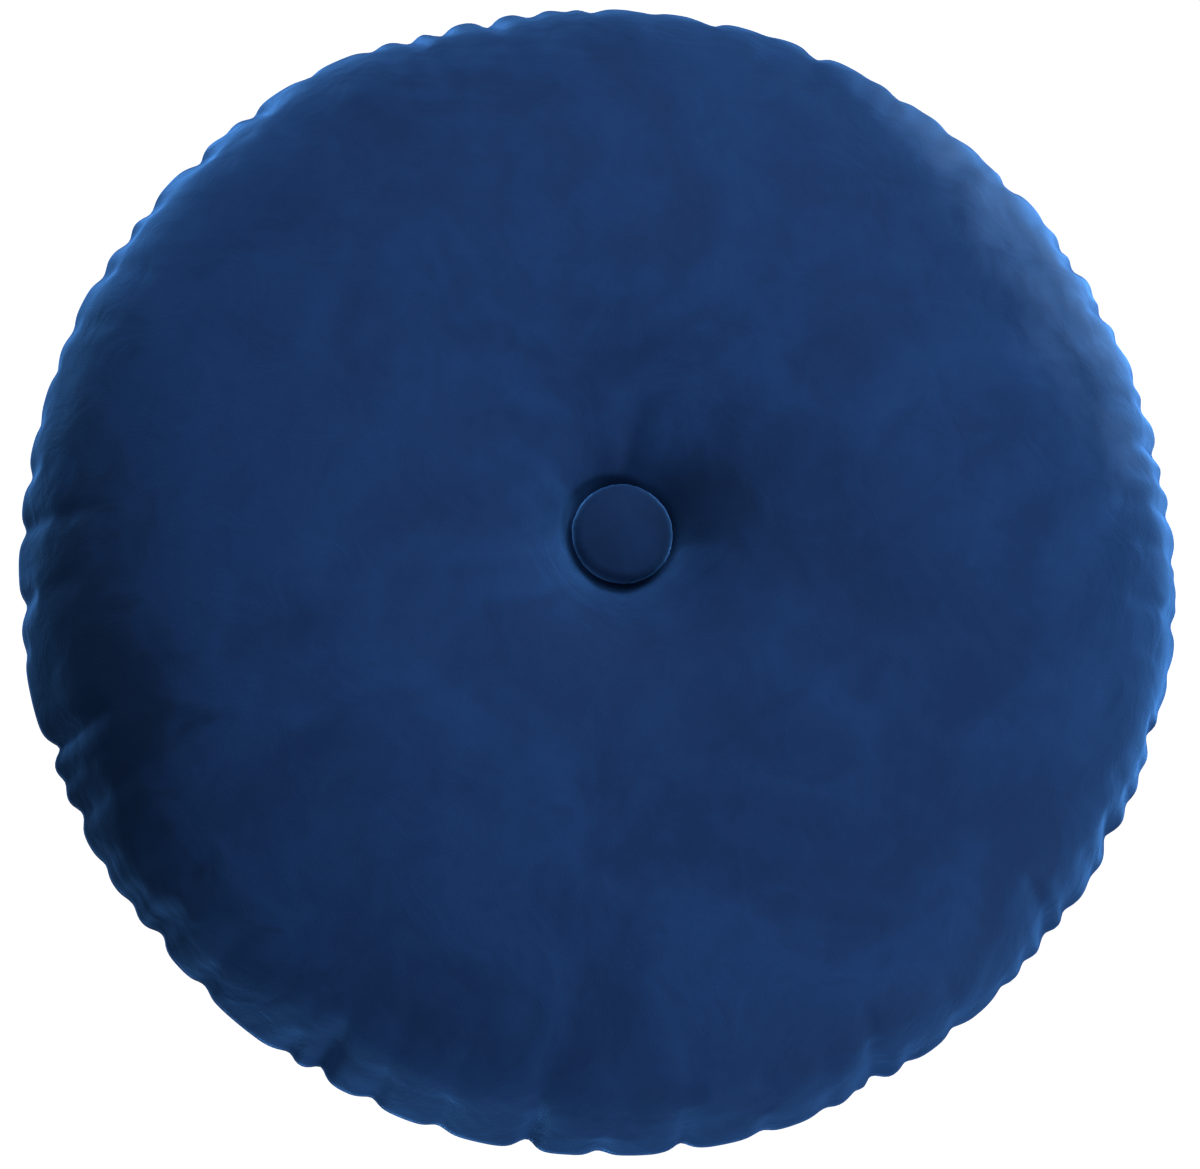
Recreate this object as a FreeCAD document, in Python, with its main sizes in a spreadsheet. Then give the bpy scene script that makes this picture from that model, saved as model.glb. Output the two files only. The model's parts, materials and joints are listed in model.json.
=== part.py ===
# Round velvet seat cushion with one covered button on each face.
# Two cloth circles are sewn together round the rim, a foam disc and polyester wadding fill them,
# and a loop of waxed twine through the middle draws the two buttons towards each other.
# The origin is the centre of the underside and +Z is up. Millimetres.
import FreeCAD, Part
import math
import os
import Sketcher

doc = FreeCAD.newDocument("SeatCushion")
sheet = doc.addObject("Spreadsheet::Sheet", "Sizes")

drivingSizes = {
    # the whole cushion
    "cushionDiameter": 456,
    "cushionHeight": 152,
    "rimRound": 55,           # radius of the side as seen in section
    "crownInset": 123,        # rim to the middle of the highest ring
    "crownFlat": 24,          # width of the level ring at the crown, on which it rests
    "tuftDepth": 30,          # crown down to the cloth under the button
    "tuftFillet": 10,
    # cover cloth and its sewing
    "clothThickness": 1.2,
    "seamAllowance": 12,
    "seamInset": 3,           # rim to the line of stitches
    "threadWidth": 0.7,
    "threadThickness": 0.4,
    "overlockWidth": 4,
    "overlockThickness": 0.4,
    "closingLength": 100,     # length of the opening sewn up by hand
    "closingPitch": 4,
    "closingStitchLength": 2.4,
    "closingMiddle": 135,     # degrees round the rim from +X
    # filling
    "layerGap": 0.3,
    "battingAtButton": 2.7,
    "sideWrap": 50,           # rim to the edge of the foam
    "foamEdgeRound": 8,
    "channelGap": 0.5,
    # covered button
    "buttonDiameter": 39.8,
    "buttonClearance": 2.4,   # under the button, room to rock
    "buttonSideGap": 0.6,
    "buttonCloth": 0.9,
    "pressGap": 0.05,
    "shellThickness": 0.5,
    "shellWall": 1.6,         # straight part of the shell's side
    "shellEdgeRound": 4,
    "shellDomeRadius": 48,
    "backLift": 0.6,
    "backThickness": 0.8,
    # wire eye and twine
    "wireRadius": 0.5,
    "eyeBend": 0.9,
    "eyeFoot": 3,
    "eyeHoleGap": 0.25,
    "eyeFit": 0.05,           # running fit of the eye on the twine
    "eyeDrop": 1.9,           # underside of the button down to the twine's bar
    "twineRadius": 0.6,
    "twineBend": 0.9,
    "strandGap": 0.6,         # wire of the eye to each strand
    "holeGap": 0.4,
    "knotRadius": 3.2,
    "knotLength": 4,
    "knotLift": 9,            # underside of the foam up to the knot
}

# Heights called "over" are measured from the seam plane, half way up the cushion.
derivedSizes = {
    "rimRadius": "cushionDiameter / 2",
    "halfHeight": "cushionHeight / 2",
    "sideCentre": "rimRadius - rimRound",
    "ringOuter": "rimRadius - crownInset + crownFlat / 2",
    "ringInner": "rimRadius - crownInset - crownFlat / 2",
    # the crown arc is level at the ring and meets the side arc without a corner
    "crownRun": "sideCentre - ringOuter",
    "crownRadius": "(crownRun^2 + halfHeight^2 - rimRound^2) / (2 * (halfHeight - rimRound))",
    "crownCentreOver": "halfHeight - crownRadius",
    # the dimple arc is level at the ring and meets the fillet round the button's seat
    "buttonRadius": "buttonDiameter / 2",
    "seatRadius": "buttonRadius + buttonSideGap",
    "seatOver": "halfHeight - tuftDepth",
    "dimpleRun": "ringInner - seatRadius",
    "dimpleSum": "(dimpleRun^2 + tuftDepth^2) / (2 * tuftDepth)",
    "dimpleRadius": "dimpleSum - tuftFillet",
    "dimpleCentreOver": "halfHeight - dimpleRadius",
    "filletOver": "seatOver + tuftFillet",
    # twine and eye
    "eyeSpread": "twineRadius + eyeFit + wireRadius",
    "strandSpread": "wireRadius + strandGap + twineRadius",
    "needleHole": "strandSpread + twineRadius + holeGap",
    "channelRadius": "knotRadius + channelGap",
    "buttonOver": "seatOver + buttonClearance",
    "barOver": "buttonOver - eyeDrop",
    "barTop": "halfHeight + barOver",
    "barBottom": "halfHeight - barOver",
    # filling
    "battingOffset": "clothThickness + layerGap",
    "foamHalf": "seatOver - battingOffset - battingAtButton",
    "foamRadius": "rimRadius - sideWrap",
    "foamTopOver": "foamHalf + layerGap",
    "wrapInner": "foamRadius + layerGap",
    "flangeInner": "rimRadius - seamAllowance",
    "overlockInner": "flangeInner - overlockThickness",
    "overlockOuter": "flangeInner + overlockWidth",
    "overlockOver": "clothThickness + overlockThickness",
    "notchInner": "overlockInner - layerGap",
    "notchOver": "overlockOver + layerGap",
    "cutRadius": "rimRadius + layerGap",
    "cutOver": "halfHeight + layerGap",
    "flangeCorner": "sideCentre + sqrt((rimRound - clothThickness)^2 - clothThickness^2)",
    "stitchLine": "rimRadius - seamInset",
    "stitchInner": "stitchLine - threadWidth / 2",
    "stitchOuter": "stitchLine + threadWidth / 2",
    "stitchTopOver": "clothThickness + threadThickness",
    # button, heights from its underside
    "coverInside": "pressGap",
    "coverOutside": "pressGap + buttonCloth",
    "shellRadius": "buttonRadius - coverOutside",
    "shellRim": "buttonCloth + pressGap",
    "shellShoulder": "shellRim + shellWall",
    "edgeCentre": "shellRadius - shellEdgeRound",
    "domeRise": "sqrt((shellDomeRadius - shellEdgeRound)^2 - edgeCentre^2)",
    "domeCentreHeight": "shellShoulder - domeRise",
    "hemOuter": "shellRadius - shellThickness - pressGap",
    "hemInner": "hemOuter - buttonCloth",
    "shellInnerRadius": "shellRadius - shellThickness",
    "backRadius": "hemInner - pressGap",
    "footHeight": "backLift + backThickness + wireRadius",
    "footBendHeight": "footHeight - eyeBend",
    "footBendOut": "eyeSpread + eyeBend",
    "footEnd": "footBendOut + eyeFoot",
    "barDown": "-eyeDrop",
    "eyeBottom": "-eyeDrop - eyeSpread",
    "eyeHole": "wireRadius + eyeHoleGap",
    # twine loop
    "loopTopCorner": "barTop - twineBend",
    "loopBottomCorner": "barBottom + twineBend",
    "barHalf": "strandSpread - twineBend",
    "strandHole": "twineRadius + pressGap",
    "knotHeight": "halfHeight - foamHalf + knotLift",
}

# Each cloth or wadding face runs parallel to the outside of the cover, this far inside it.
coverLayers = {"Skin": "0", "Lining": "clothThickness", "Wadding": "battingOffset"}
# Each face of a button runs parallel to the outside of its metal shell, this far outside it.
buttonLayers = {"Inner": "-shellThickness", "Metal": "0", "ClothIn": "coverInside", "ClothOut": "coverOutside"}


def layerFormulas():
    """Sizes of the arcs and of the points where they meet, for every parallel face."""
    formulas = {}
    for layer, depth in coverLayers.items():
        formulas["side" + layer] = f"rimRound - ({depth})"
        formulas["crown" + layer] = f"crownRadius - ({depth})"
        formulas["dimple" + layer] = f"dimpleRadius - ({depth})"
        formulas["fillet" + layer] = f"tuftFillet + ({depth})"
        formulas["rim" + layer] = f"rimRadius - ({depth})"
        formulas["top" + layer] = f"halfHeight - ({depth})"
        formulas["seat" + layer] = f"seatOver - ({depth})"
        share = f"(crownRadius - ({depth})) / (crownRadius - rimRound)"
        formulas["shoulderOut" + layer] = f"ringOuter + crownRun * {share}"
        formulas["shoulderOver" + layer] = f"crownCentreOver * (1 - {share})"
        share = f"(dimpleRadius - ({depth})) / dimpleSum"
        formulas["slopeOut" + layer] = f"ringInner - dimpleRun * {share}"
        formulas["slopeOver" + layer] = f"dimpleCentreOver + (dimpleSum - tuftDepth) * {share}"
    for layer, depth in buttonLayers.items():
        formulas["dome" + layer] = f"shellDomeRadius + ({depth})"
        formulas["edge" + layer] = f"shellEdgeRound + ({depth})"
        formulas["wall" + layer] = f"shellRadius + ({depth})"
        formulas["peak" + layer] = f"domeCentreHeight + shellDomeRadius + ({depth})"
        share = f"(shellDomeRadius + ({depth})) / (shellDomeRadius - shellEdgeRound)"
        formulas["faceOut" + layer] = f"edgeCentre * {share}"
        formulas["faceHeight" + layer] = f"domeCentreHeight + domeRise * {share}"
    return formulas


def fillSheet():
    row = 0
    formulas = {name: "=" + text for name, text in {**derivedSizes, **layerFormulas()}.items()}
    plain = {name: str(value) for name, value in drivingSizes.items()}
    for name, text in {**plain, **formulas}.items():
        row += 1
        sheet.set(f"A{row}", name)
        sheet.set(f"B{row}", text)
        sheet.setAlias(f"B{row}", name)
    doc.recompute()


def size(name):
    value = getattr(sheet, name)
    return float(getattr(value, "Value", value))


def signedSize(name):
    """A size by its name, or its opposite where the name starts with a minus."""
    return -size(name[1:]) if name.startswith("-") else size(name)


def formula(name, factor=""):
    opposite = name.startswith("-")
    return ("-" if opposite else "") + "Sizes." + name.lstrip("-") + factor


def newBody(label):
    body = doc.addObject("PartDesign::Body", label)
    body.Label = label
    return body


def newSketch(body, name, planeRole):
    sketch = body.newObject("Sketcher::SketchObject", name)
    planes = [part for part in body.Origin.OriginFeatures if part.Role == planeRole]
    sketch.AttachmentSupport = [(planes[0], "")]
    sketch.MapMode = "FlatFace"
    return sketch


def bindConstraint(sketch, constraint, expression):
    index = sketch.addConstraint(constraint)
    sketch.setExpression(f"Constraints[{index}]", expression)


def bindCoordinate(sketch, kind, edge, end, name):
    """Dimension one coordinate of a point from the sketch's origin."""
    if name == "zero":
        axis = -2 if kind == "DistanceX" else -1
        sketch.addConstraint(Sketcher.Constraint("PointOnObject", edge, end, axis))
        return
    value = signedSize(name)
    if value < 0:
        opposite = formula(name[1:]) if name.startswith("-") else "-" + formula(name)
        bindConstraint(sketch, Sketcher.Constraint(kind, edge, end, -1, 1, -value), opposite)
    else:
        bindConstraint(sketch, Sketcher.Constraint(kind, -1, 1, edge, end, value), formula(name))


def drawOutline(sketch, corners, closed=True):
    """Join corners (across, up, arc centre and radius or None) by lines and arcs under pi."""
    place = [(0.0 if x == "zero" else signedSize(x), 0.0 if y == "zero" else signedSize(y)) for x, y, _ in corners]
    count = len(corners) if closed else len(corners) - 1
    ends = []
    for index in range(count):
        start = place[index]
        finish = place[(index + 1) % len(corners)]
        arc = corners[index][2]
        if arc is None:
            line = Part.LineSegment(FreeCAD.Vector(*start, 0), FreeCAD.Vector(*finish, 0))
            ends.append((sketch.addGeometry(line), 1, 2))
            continue
        centre = [0.0 if name == "zero" else signedSize(name) for name in arc[:2]]
        first = math.atan2(start[1] - centre[1], start[0] - centre[0])
        last = math.atan2(finish[1] - centre[1], finish[0] - centre[0])
        circle = Part.Circle(FreeCAD.Vector(*centre, 0), FreeCAD.Vector(0, 0, 1), size(arc[2]))
        turn = (last - first + math.pi) % (2 * math.pi) - math.pi
        if turn > 0:
            edge = sketch.addGeometry(Part.ArcOfCircle(circle, first, first + turn))
            ends.append((edge, 1, 2))
        else:
            edge = sketch.addGeometry(Part.ArcOfCircle(circle, last, last - turn))
            ends.append((edge, 2, 1))
    for index in range(count if closed else count - 1):
        here = ends[index]
        following = ends[(index + 1) % count]
        sketch.addConstraint(Sketcher.Constraint("Coincident", here[0], here[2], following[0], following[1]))
    for index, (x, y, arc) in enumerate(corners):
        edge, end = (ends[index][0], ends[index][1]) if index < count else (ends[-1][0], ends[-1][2])
        bindCoordinate(sketch, "DistanceX", edge, end, x)
        bindCoordinate(sketch, "DistanceY", edge, end, y)
        if arc is not None:
            bindConstraint(sketch, Sketcher.Constraint("Radius", edge, size(arc[2])), formula(arc[2]))


def drawCircle(sketch, x, y, radius):
    centre = FreeCAD.Vector(0 if x == "zero" else signedSize(x), 0 if y == "zero" else signedSize(y), 0)
    edge = sketch.addGeometry(Part.Circle(centre, FreeCAD.Vector(0, 0, 1), size(radius)))
    bindCoordinate(sketch, "DistanceX", edge, 3, x)
    bindCoordinate(sketch, "DistanceY", edge, 3, y)
    bindConstraint(sketch, Sketcher.Constraint("Radius", edge, size(radius)), formula(radius))


def turnOutline(body, kind, name, corners):
    """Revolution or Groove of one outline drawn across (x) and up (z), all round the Z axis."""
    sketch = newSketch(body, name + "Outline", "XZ_Plane")
    drawOutline(sketch, corners)
    feature = body.newObject("PartDesign::" + kind, name)
    feature.Profile = sketch
    feature.ReferenceAxis = (sketch, ["V_Axis"])
    feature.Angle = 360
    return feature


def turnAway(body, name, corners):
    """Groove that has to take something away."""
    doc.recompute()
    before = body.Shape.Volume
    turnOutline(body, "Groove", name, corners)
    doc.recompute()
    if body.Shape.Volume >= before:
        raise RuntimeError(name + " cuts nothing from " + body.Label)


def ringOutline(inner, outer, low, high):
    return [(inner, low, None), (outer, low, None), (outer, high, None), (inner, high, None)]


def roundEdges(body, name, edges, radius):
    base = body.Tip
    fillet = body.newObject("PartDesign::Fillet", name)
    fillet.Base = (base, edges)
    fillet.setExpression("Radius", radius)
    doc.recompute()


def circleEdgesAt(body, radius):
    """Names of the round edges of this radius about the Z axis."""
    names = []
    for number, edge in enumerate(body.Shape.Edges, 1):
        curve = edge.Curve
        if isinstance(curve, Part.Circle) and abs(curve.Radius - radius) < 0.001 and curve.Center.x == 0:
            names.append(f"Edge{number}")
    return names


def placeUpper(body, height):
    body.setExpression("Placement.Base.z", height)


def placeLower(body, height):
    """Turn the piece over, about the X axis."""
    body.Placement = FreeCAD.Placement(FreeCAD.Vector(0, 0, 0), FreeCAD.Rotation(FreeCAD.Vector(1, 0, 0), 180))
    body.setExpression("Placement.Base.z", height)


def faceCorners(layer, inner):
    """Outside line of the cover from the seam plane over the crown to the button's seat."""
    return [
        ("rim" + layer, "zero", ("sideCentre", "zero", "side" + layer)),
        ("shoulderOut" + layer, "shoulderOver" + layer, ("ringOuter", "crownCentreOver", "crown" + layer)),
        ("ringOuter", "top" + layer, None),
        ("ringInner", "top" + layer, ("ringInner", "dimpleCentreOver", "dimple" + layer)),
        ("slopeOut" + layer, "slopeOver" + layer, ("seatRadius", "filletOver", "fillet" + layer)),
        ("seatRadius", "seat" + layer, None),
        (inner, "seat" + layer, None),
    ]


def makePanel(label):
    """Cloth circle drawn over one half, with its seam allowance turned inwards."""
    body = newBody(label)
    corners = faceCorners("Skin", "needleHole")
    corners += [
        ("needleHole", "seatLining", None),
        ("seatRadius", "seatLining", ("seatRadius", "filletOver", "filletLining")),
        ("slopeOutLining", "slopeOverLining", ("ringInner", "dimpleCentreOver", "dimpleLining")),
        ("ringInner", "topLining", None),
        ("ringOuter", "topLining", ("ringOuter", "crownCentreOver", "crownLining")),
        ("shoulderOutLining", "shoulderOverLining", ("sideCentre", "zero", "sideLining")),
        ("flangeCorner", "clothThickness", None),
        ("flangeInner", "clothThickness", None),
        ("flangeInner", "zero", None),
    ]
    turnOutline(body, "Revolution", "PanelCloth", corners)
    return body


def makeBatting(label):
    """Wadding between the cover and the flat of the foam."""
    body = newBody(label)
    corners = faceCorners("Wadding", "channelRadius") + [("channelRadius", "zero", None)]
    turnOutline(body, "Revolution", "WaddingBlock", corners)
    turnAway(body, "FoamSpace", [
        ("zero", "zero", None),
        ("cutRadius", "zero", None),
        ("cutRadius", "foamTopOver", None),
        ("zero", "foamTopOver", None),
    ])
    return body


def makeSideBatting():
    """Wadding wrapped round the edge of the foam, with a slot for the seam allowance."""
    body = newBody("side_batting")
    upper = faceCorners("Wadding", "channelRadius")[:3] + [("wrapInner", "topWadding", None)]
    upper += [("wrapInner", "zero", None)]
    turnOutline(body, "Revolution", "WrapUpper", upper)
    lower = [(x, y if y == "zero" else "-" + y, arc) for x, y, arc in upper]
    lower = [(x, y, flipArc(arc)) for x, y, arc in lower]
    turnOutline(body, "Revolution", "WrapLower", lower)
    for name, low, high in (("TopSpace", "foamHalf", "cutOver"), ("BottomSpace", "-cutOver", "-foamHalf")):
        turnAway(body, name, ringOutline("channelRadius", "cutRadius", low, high))
    turnAway(body, "SeamSlot", ringOutline("notchInner", "cutRadius", "-notchOver", "notchOver"))
    placeUpper(body, "Sizes.halfHeight")
    return body


def flipArc(arc):
    """The same arc below the seam plane."""
    if arc is None:
        return None
    x, y, radius = arc
    return (x, y if y == "zero" else "-" + y, radius)


def makeFoam():
    body = newBody("foam_core")
    sketch = newSketch(body, "FoamDisc", "XY_Plane")
    drawCircle(sketch, "zero", "zero", "foamRadius")
    drawCircle(sketch, "zero", "zero", "channelRadius")
    pad = body.newObject("PartDesign::Pad", "FoamBlock")
    pad.Profile = sketch
    pad.SideType = "Symmetric"
    pad.setExpression("Length", "Sizes.foamHalf * 2")
    doc.recompute()
    roundEdges(body, "FoamEdges", circleEdgesAt(body, size("foamRadius")), "Sizes.foamEdgeRound")
    placeUpper(body, "Sizes.halfHeight")
    return body


def makeSeamThread(label):
    """Lockstitch thread, pulled flat against one seam allowance."""
    body = newBody(label)
    section = ringOutline("stitchInner", "stitchOuter", "clothThickness", "stitchTopOver")
    turnOutline(body, "Revolution", "ThreadLine", section)
    return body


def makeOverlock():
    """Overlock stitching folded round the raw edges of both seam allowances."""
    body = newBody("overlock_thread")
    turnOutline(body, "Revolution", "OverlockFold", [
        ("overlockOuter", "overlockOver", None),
        ("overlockInner", "overlockOver", None),
        ("overlockInner", "-overlockOver", None),
        ("overlockOuter", "-overlockOver", None),
        ("overlockOuter", "-clothThickness", None),
        ("flangeInner", "-clothThickness", None),
        ("flangeInner", "clothThickness", None),
        ("overlockOuter", "clothThickness", None),
    ])
    placeUpper(body, "Sizes.halfHeight")
    return body


def makeClosingStitches():
    """Hand stitches across the seam where the filling went in, as separate short bars."""
    stitches = []
    radius = size("threadWidth") / 2
    reach = size("rimRadius") + radius
    length = size("closingStitchLength")
    count = max(2, round(size("closingLength") / size("closingPitch")) + 1)
    step = size("closingPitch") / size("rimRadius")
    for index in range(count):
        angle = math.radians(size("closingMiddle")) + (index - (count - 1) / 2) * step
        foot = FreeCAD.Vector(reach * math.cos(angle), reach * math.sin(angle), -length / 2)
        stitches.append(Part.makeCylinder(radius, length, foot))
    feature = doc.addObject("Part::Feature", "closing_stitches")
    feature.Label = "closing_stitches"
    feature.Shape = Part.makeCompound(stitches)
    feature.Placement = FreeCAD.Placement(FreeCAD.Vector(0, 0, size("halfHeight")), FreeCAD.Rotation())
    return feature


def domeCorners(layer):
    """Face, rounded edge and shoulder of a button's parallel layer, from the axis outwards."""
    return [
        ("zero", "peak" + layer, ("zero", "domeCentreHeight", "dome" + layer)),
        ("faceOut" + layer, "faceHeight" + layer, ("edgeCentre", "shellShoulder", "edge" + layer)),
        ("wall" + layer, "shellShoulder", None),
    ]


def domeReturn(layer):
    """The same line walked back towards the axis."""
    return [
        ("wall" + layer, "shellShoulder", ("edgeCentre", "shellShoulder", "edge" + layer)),
        ("faceOut" + layer, "faceHeight" + layer, ("zero", "domeCentreHeight", "dome" + layer)),
        ("zero", "peak" + layer, None),
    ]


def makeButtonCover(label):
    """Velvet drawn over the shell, under its rim and up inside it."""
    body = newBody(label)
    corners = domeCorners("ClothOut")
    corners += [
        ("wallClothOut", "zero", None),
        ("hemInner", "zero", None),
        ("hemInner", "shellShoulder", None),
        ("hemOuter", "shellShoulder", None),
        ("hemOuter", "buttonCloth", None),
        ("wallClothIn", "buttonCloth", None),
    ]
    turnOutline(body, "Revolution", "CoverCloth", corners + domeReturn("ClothIn"))
    return body


def makeButtonShell(label):
    body = newBody(label)
    corners = domeCorners("Metal")
    corners += [("wallMetal", "shellRim", None), ("shellInnerRadius", "shellRim", None)]
    turnOutline(body, "Revolution", "ShellDome", corners + domeReturn("Inner"))
    return body


def makeButtonBack(label):
    """Pressed-in disc that clamps the hem and carries the eye."""
    body = newBody(label)
    sketch = newSketch(body, "BackDisc", "XY_Plane")
    drawCircle(sketch, "zero", "zero", "backRadius")
    drawCircle(sketch, "eyeSpread", "zero", "eyeHole")
    drawCircle(sketch, "-eyeSpread", "zero", "eyeHole")
    sketch.setExpression(".AttachmentOffset.Base.z", "Sizes.backLift")
    pad = body.newObject("PartDesign::Pad", "BackPlate")
    pad.Profile = sketch
    pad.setExpression("Length", "Sizes.backThickness")
    doc.recompute()
    return body


def sweepCircle(body, name, pathCorners, pathPlane, closed, circlePlane, circleOffset, circlePlace, radius):
    """Round section drawn along a path of lines and arcs."""
    path = newSketch(body, name + "Path", pathPlane)
    drawOutline(path, pathCorners, closed)
    section = newSketch(body, name + "Section", circlePlane)
    section.setExpression(".AttachmentOffset.Base.z", circleOffset)
    drawCircle(section, *circlePlace, radius)
    doc.recompute()
    pipe = body.newObject("PartDesign::AdditivePipe", name)
    pipe.Profile = section
    pipe.Spine = (path, [f"Edge{number + 1}" for number in range(len(path.Shape.Edges))])
    doc.recompute()
    return pipe


def makeButtonEye(label):
    """Wire staple through the back, hooked round the twine."""
    body = newBody(label)
    foot = ("footBendOut", "footBendHeight", "eyeBend")
    otherFoot = ("-footBendOut", "footBendHeight", "eyeBend")
    hook = ("zero", "barDown", "eyeSpread")
    sweepCircle(body, "EyeWire", [
        ("-footEnd", "footHeight", None),
        ("-footBendOut", "footHeight", otherFoot),
        ("-eyeSpread", "footBendHeight", None),
        ("-eyeSpread", "barDown", hook),
        ("zero", "eyeBottom", hook),
        ("eyeSpread", "barDown", None),
        ("eyeSpread", "footBendHeight", foot),
        ("footBendOut", "footHeight", None),
        ("footEnd", "footHeight", None),
    ], "XZ_Plane", False, "YZ_Plane", "-Sizes.footEnd", ("zero", "footHeight"), "wireRadius")
    return body


def makeTwine():
    """Closed loop of waxed twine with a short bar through each eye."""
    body = newBody("tuft_twine")
    right = "strandSpread"
    left = "-strandSpread"
    sweepCircle(body, "TwineLoop", [
        (right, "halfHeight", None),
        (right, "loopTopCorner", ("barHalf", "loopTopCorner", "twineBend")),
        ("barHalf", "barTop", None),
        ("-barHalf", "barTop", ("-barHalf", "loopTopCorner", "twineBend")),
        (left, "loopTopCorner", None),
        (left, "loopBottomCorner", ("-barHalf", "loopBottomCorner", "twineBend")),
        ("-barHalf", "barBottom", None),
        ("barHalf", "barBottom", ("barHalf", "loopBottomCorner", "twineBend")),
        (right, "loopBottomCorner", None),
    ], "YZ_Plane", True, "XY_Plane", "Sizes.halfHeight", ("zero", right), "twineRadius")
    return body


def makeKnot():
    """Slip knot that locks the loop, a tight barrel round both strands."""
    body = newBody("slip_knot")
    sketch = newSketch(body, "KnotRound", "XY_Plane")
    drawCircle(sketch, "zero", "zero", "knotRadius")
    drawCircle(sketch, "zero", "strandSpread", "strandHole")
    drawCircle(sketch, "zero", "-strandSpread", "strandHole")
    pad = body.newObject("PartDesign::Pad", "KnotBarrel")
    pad.Profile = sketch
    pad.setExpression("Length", "Sizes.knotLength")
    doc.recompute()
    roundEdges(body, "KnotEdges", circleEdgesAt(body, size("knotRadius")), "Sizes.knotRadius / 8")
    placeUpper(body, "Sizes.knotHeight")
    return body


def placePair(upper, lower, over):
    placeUpper(upper, f"Sizes.halfHeight + {over}")
    placeLower(lower, f"Sizes.halfHeight - {over}")
    return [upper, lower]


def makeAll():
    pieces = placePair(makePanel("top_panel"), makePanel("bottom_panel"), "0")
    pieces += placePair(makeBatting("top_batting"), makeBatting("bottom_batting"), "0")
    pieces += placePair(makeSeamThread("needle_thread"), makeSeamThread("bobbin_thread"), "0")
    pieces += [makeSideBatting(), makeFoam(), makeOverlock(), makeClosingStitches()]
    for make, name in (
        (makeButtonCover, "button_cover"),
        (makeButtonShell, "button_shell"),
        (makeButtonBack, "button_back"),
        (makeButtonEye, "button_eye"),
    ):
        pieces += placePair(make("top_" + name), make("bottom_" + name), "Sizes.buttonOver")
    pieces += [makeTwine(), makeKnot()]
    doc.recompute()
    return pieces


def checkDocument(pieces):
    for part in doc.Objects:
        if "Invalid" in part.State or "Error" in part.State:
            raise RuntimeError(f"{part.Label} failed: {part.State}")
    for piece in pieces:
        if piece.Shape.isNull() or not piece.Shape.isValid() or piece.Shape.Volume <= 0:
            raise RuntimeError(f"{piece.Label} has no good shape")


def writePieces(pieces):
    os.makedirs("parts", exist_ok=True)
    for piece in pieces:
        piece.Shape.exportStep(f"parts/{piece.Label}.step")
        print(f"{piece.Label}: {piece.Shape.Volume:.1f} mm3, {len(piece.Shape.Solids)} solid(s)")


fillSheet()
cushionPieces = makeAll()
checkDocument(cushionPieces)
writePieces(cushionPieces)
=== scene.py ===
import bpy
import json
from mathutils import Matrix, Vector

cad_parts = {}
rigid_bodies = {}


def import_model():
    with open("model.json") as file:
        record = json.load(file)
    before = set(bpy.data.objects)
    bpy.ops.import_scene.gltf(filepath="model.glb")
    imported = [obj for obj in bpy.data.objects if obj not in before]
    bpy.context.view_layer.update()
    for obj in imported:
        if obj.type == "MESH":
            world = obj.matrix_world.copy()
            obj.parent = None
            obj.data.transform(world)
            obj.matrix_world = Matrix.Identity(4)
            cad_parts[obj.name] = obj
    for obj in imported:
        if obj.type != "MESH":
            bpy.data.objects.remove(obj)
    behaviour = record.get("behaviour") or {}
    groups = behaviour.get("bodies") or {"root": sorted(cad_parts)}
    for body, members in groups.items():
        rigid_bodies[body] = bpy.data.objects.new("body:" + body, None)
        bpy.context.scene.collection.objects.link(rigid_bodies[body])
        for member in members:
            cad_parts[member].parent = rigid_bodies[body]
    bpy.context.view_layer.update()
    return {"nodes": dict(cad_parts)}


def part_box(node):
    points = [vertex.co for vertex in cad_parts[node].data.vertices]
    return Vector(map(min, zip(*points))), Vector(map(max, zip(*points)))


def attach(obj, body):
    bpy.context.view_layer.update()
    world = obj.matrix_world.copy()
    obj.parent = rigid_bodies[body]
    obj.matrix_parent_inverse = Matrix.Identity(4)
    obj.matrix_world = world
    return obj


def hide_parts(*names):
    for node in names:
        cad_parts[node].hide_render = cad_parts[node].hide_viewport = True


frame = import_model()

import json
import math
import random

import bmesh
import bpy
import numpy as np
from mathutils import Quaternion, Vector, noise

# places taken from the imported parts
panelLow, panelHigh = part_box("top_panel")
buttonLow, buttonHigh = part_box("top_button_cover")
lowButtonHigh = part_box("bottom_button_cover")[1]
seamHeight = panelLow[2]
rimRadius = panelHigh[0]
buttonRadius = buttonHigh[0]
buttonThickness = buttonHigh[2] - buttonLow[2]
fullTurn = 2 * math.pi
touching = 0.00001    # vertices closer than this are the same one

# camera, lights and floor
view = {
    "tilt": 15.0,        # degrees between the line of sight and the cushion's axis
    "roll": 29.5,        # degrees the camera is turned about its line of sight
    "distance": 2.4,
    "reach": 0.2328,     # half of the picture's width at the cushion, metres
    "sideways": -0.0020,     # where the camera looks, in the picture's own right and up
    "upwards": -0.0078,
    "sensorWidth": 36.0,
}
studio = {
    "lamps": {           # direction to the right, up and towards the camera, power, size
        "key": ((0.50, 0.87, 0.45), 47.0, 0.7),
        "top": ((-0.10, 1.00, 0.45), 21.0, 0.7),
        "right": ((0.75, -0.66, 0.45), 52.0, 0.7),
        "leftFill": ((-0.70, 0.70, 1.50), 14.0, 0.7),
        "lowFill": ((-0.60, -0.75, 1.50), 12.0, 0.7),
    },
    "lightDistance": 1.6,
    "roomLight": 0.16,
    "floorSize": 6.0,
    "floorColour": (0.82, 0.82, 0.82, 1),
    "floorGlow": 1.0,    # the floor shines white by itself, so it shows no shadow
}


def cameraTurn():
    tilt = math.radians(view["tilt"])
    towards = Vector((0, -math.sin(tilt), math.cos(tilt)))
    turn = (-towards).to_track_quat("-Z", "Y") @ Quaternion((0, 0, 1), math.radians(view["roll"]))
    return towards, turn


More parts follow.
